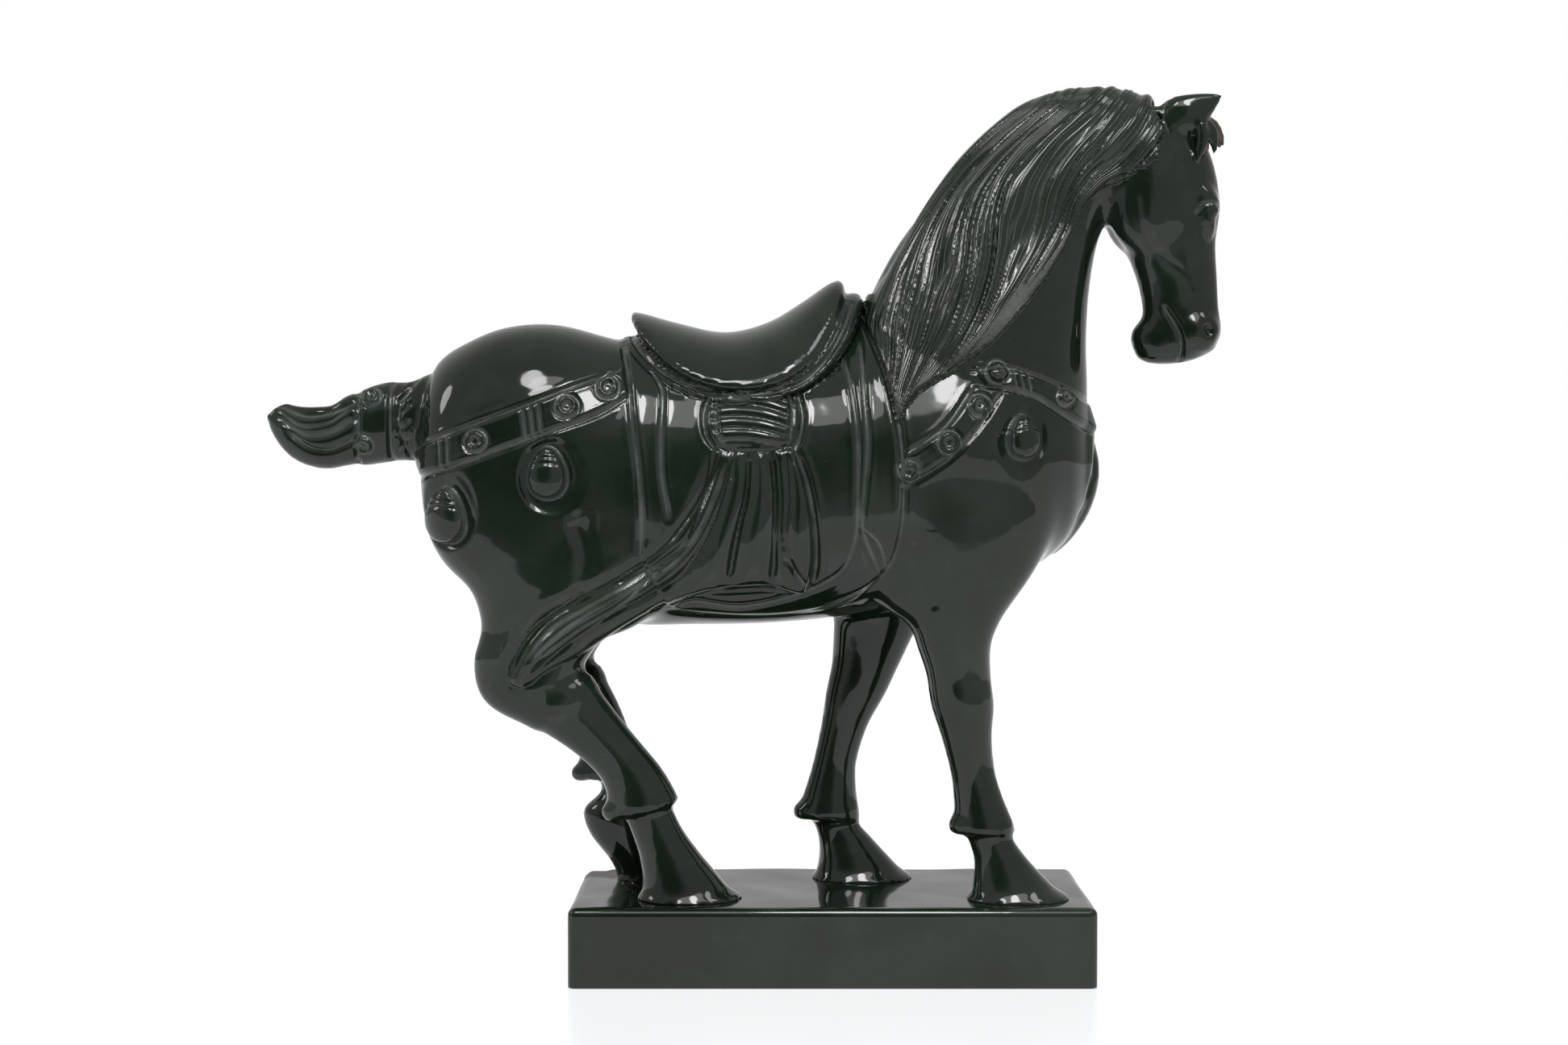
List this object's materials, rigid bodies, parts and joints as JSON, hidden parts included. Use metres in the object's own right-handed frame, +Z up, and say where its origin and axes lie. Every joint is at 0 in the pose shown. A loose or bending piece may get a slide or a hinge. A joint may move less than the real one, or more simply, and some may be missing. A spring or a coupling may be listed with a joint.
{
  "type": "carved jade horse figurine",
  "caption": "Dark green nephrite carving of a saddled horse walking with its head bent down, on a rectangular plinth, a decorative figure for a shelf or table.",
  "frame": {"origin": "The middle of the plinth's underside.", "axes": "+X is the way the horse faces, +Y is its left side, +Z is up."},
  "size_m": [0.2717, 0.067, 0.2502],
  "materials": {
    "nephrite": "highly polished stone, very dark green"
  },
  "bodies": {
    "root": {"plinth": "nephrite", "torso": "nephrite", "neck": "nephrite", "head": "nephrite", "saddle_cloth": "nephrite", "saddle_pad": "nephrite", "saddle_seat": "nephrite", "mane": "nephrite", "forelock": "nephrite", "leg_front_right": "nephrite", "hoof_front_right": "nephrite", "leg_front_left": "nephrite", "hoof_front_left": "nephrite", "cannon_hind_right": "nephrite", "leg_hind_right": "nephrite", "hoof_hind_right": "nephrite", "cannon_hind_left": "nephrite", "leg_hind_left": "nephrite", "hoof_hind_left": "nephrite", "tail_dock": "nephrite", "tail_band": "nephrite", "tail_brush": "nephrite", "croup_strap_right": "nephrite", "croup_strap_left": "nephrite", "shoulder_strap_right": "nephrite", "shoulder_strap_left": "nephrite", "breast_collar": "nephrite", "ear_right": "nephrite", "eye_right": "nephrite", "sash_knot_right": "nephrite", "sash_drape_right": "nephrite", "croup_stud_right_1": "nephrite", "croup_stud_right_2": "nephrite", "croup_stud_right_3": "nephrite", "shoulder_stud_right_1": "nephrite", "shoulder_stud_right_2": "nephrite", "collar_stud_right_1": "nephrite", "collar_stud_right_2": "nephrite", "croup_tassel_right_1": "nephrite", "croup_tassel_right_2": "nephrite", "collar_tassel_right_1": "nephrite", "ear_left": "nephrite", "eye_left": "nephrite", "sash_knot_left": "nephrite", "sash_drape_left": "nephrite", "croup_stud_left_1": "nephrite", "croup_stud_left_2": "nephrite", "croup_stud_left_3": "nephrite", "shoulder_stud_left_1": "nephrite", "shoulder_stud_left_2": "nephrite", "collar_stud_left_1": "nephrite", "collar_stud_left_2": "nephrite", "croup_tassel_left_1": "nephrite", "croup_tassel_left_2": "nephrite", "collar_tassel_left_1": "nephrite", "chest_tassel": "nephrite"}
  },
  "joints": []
}
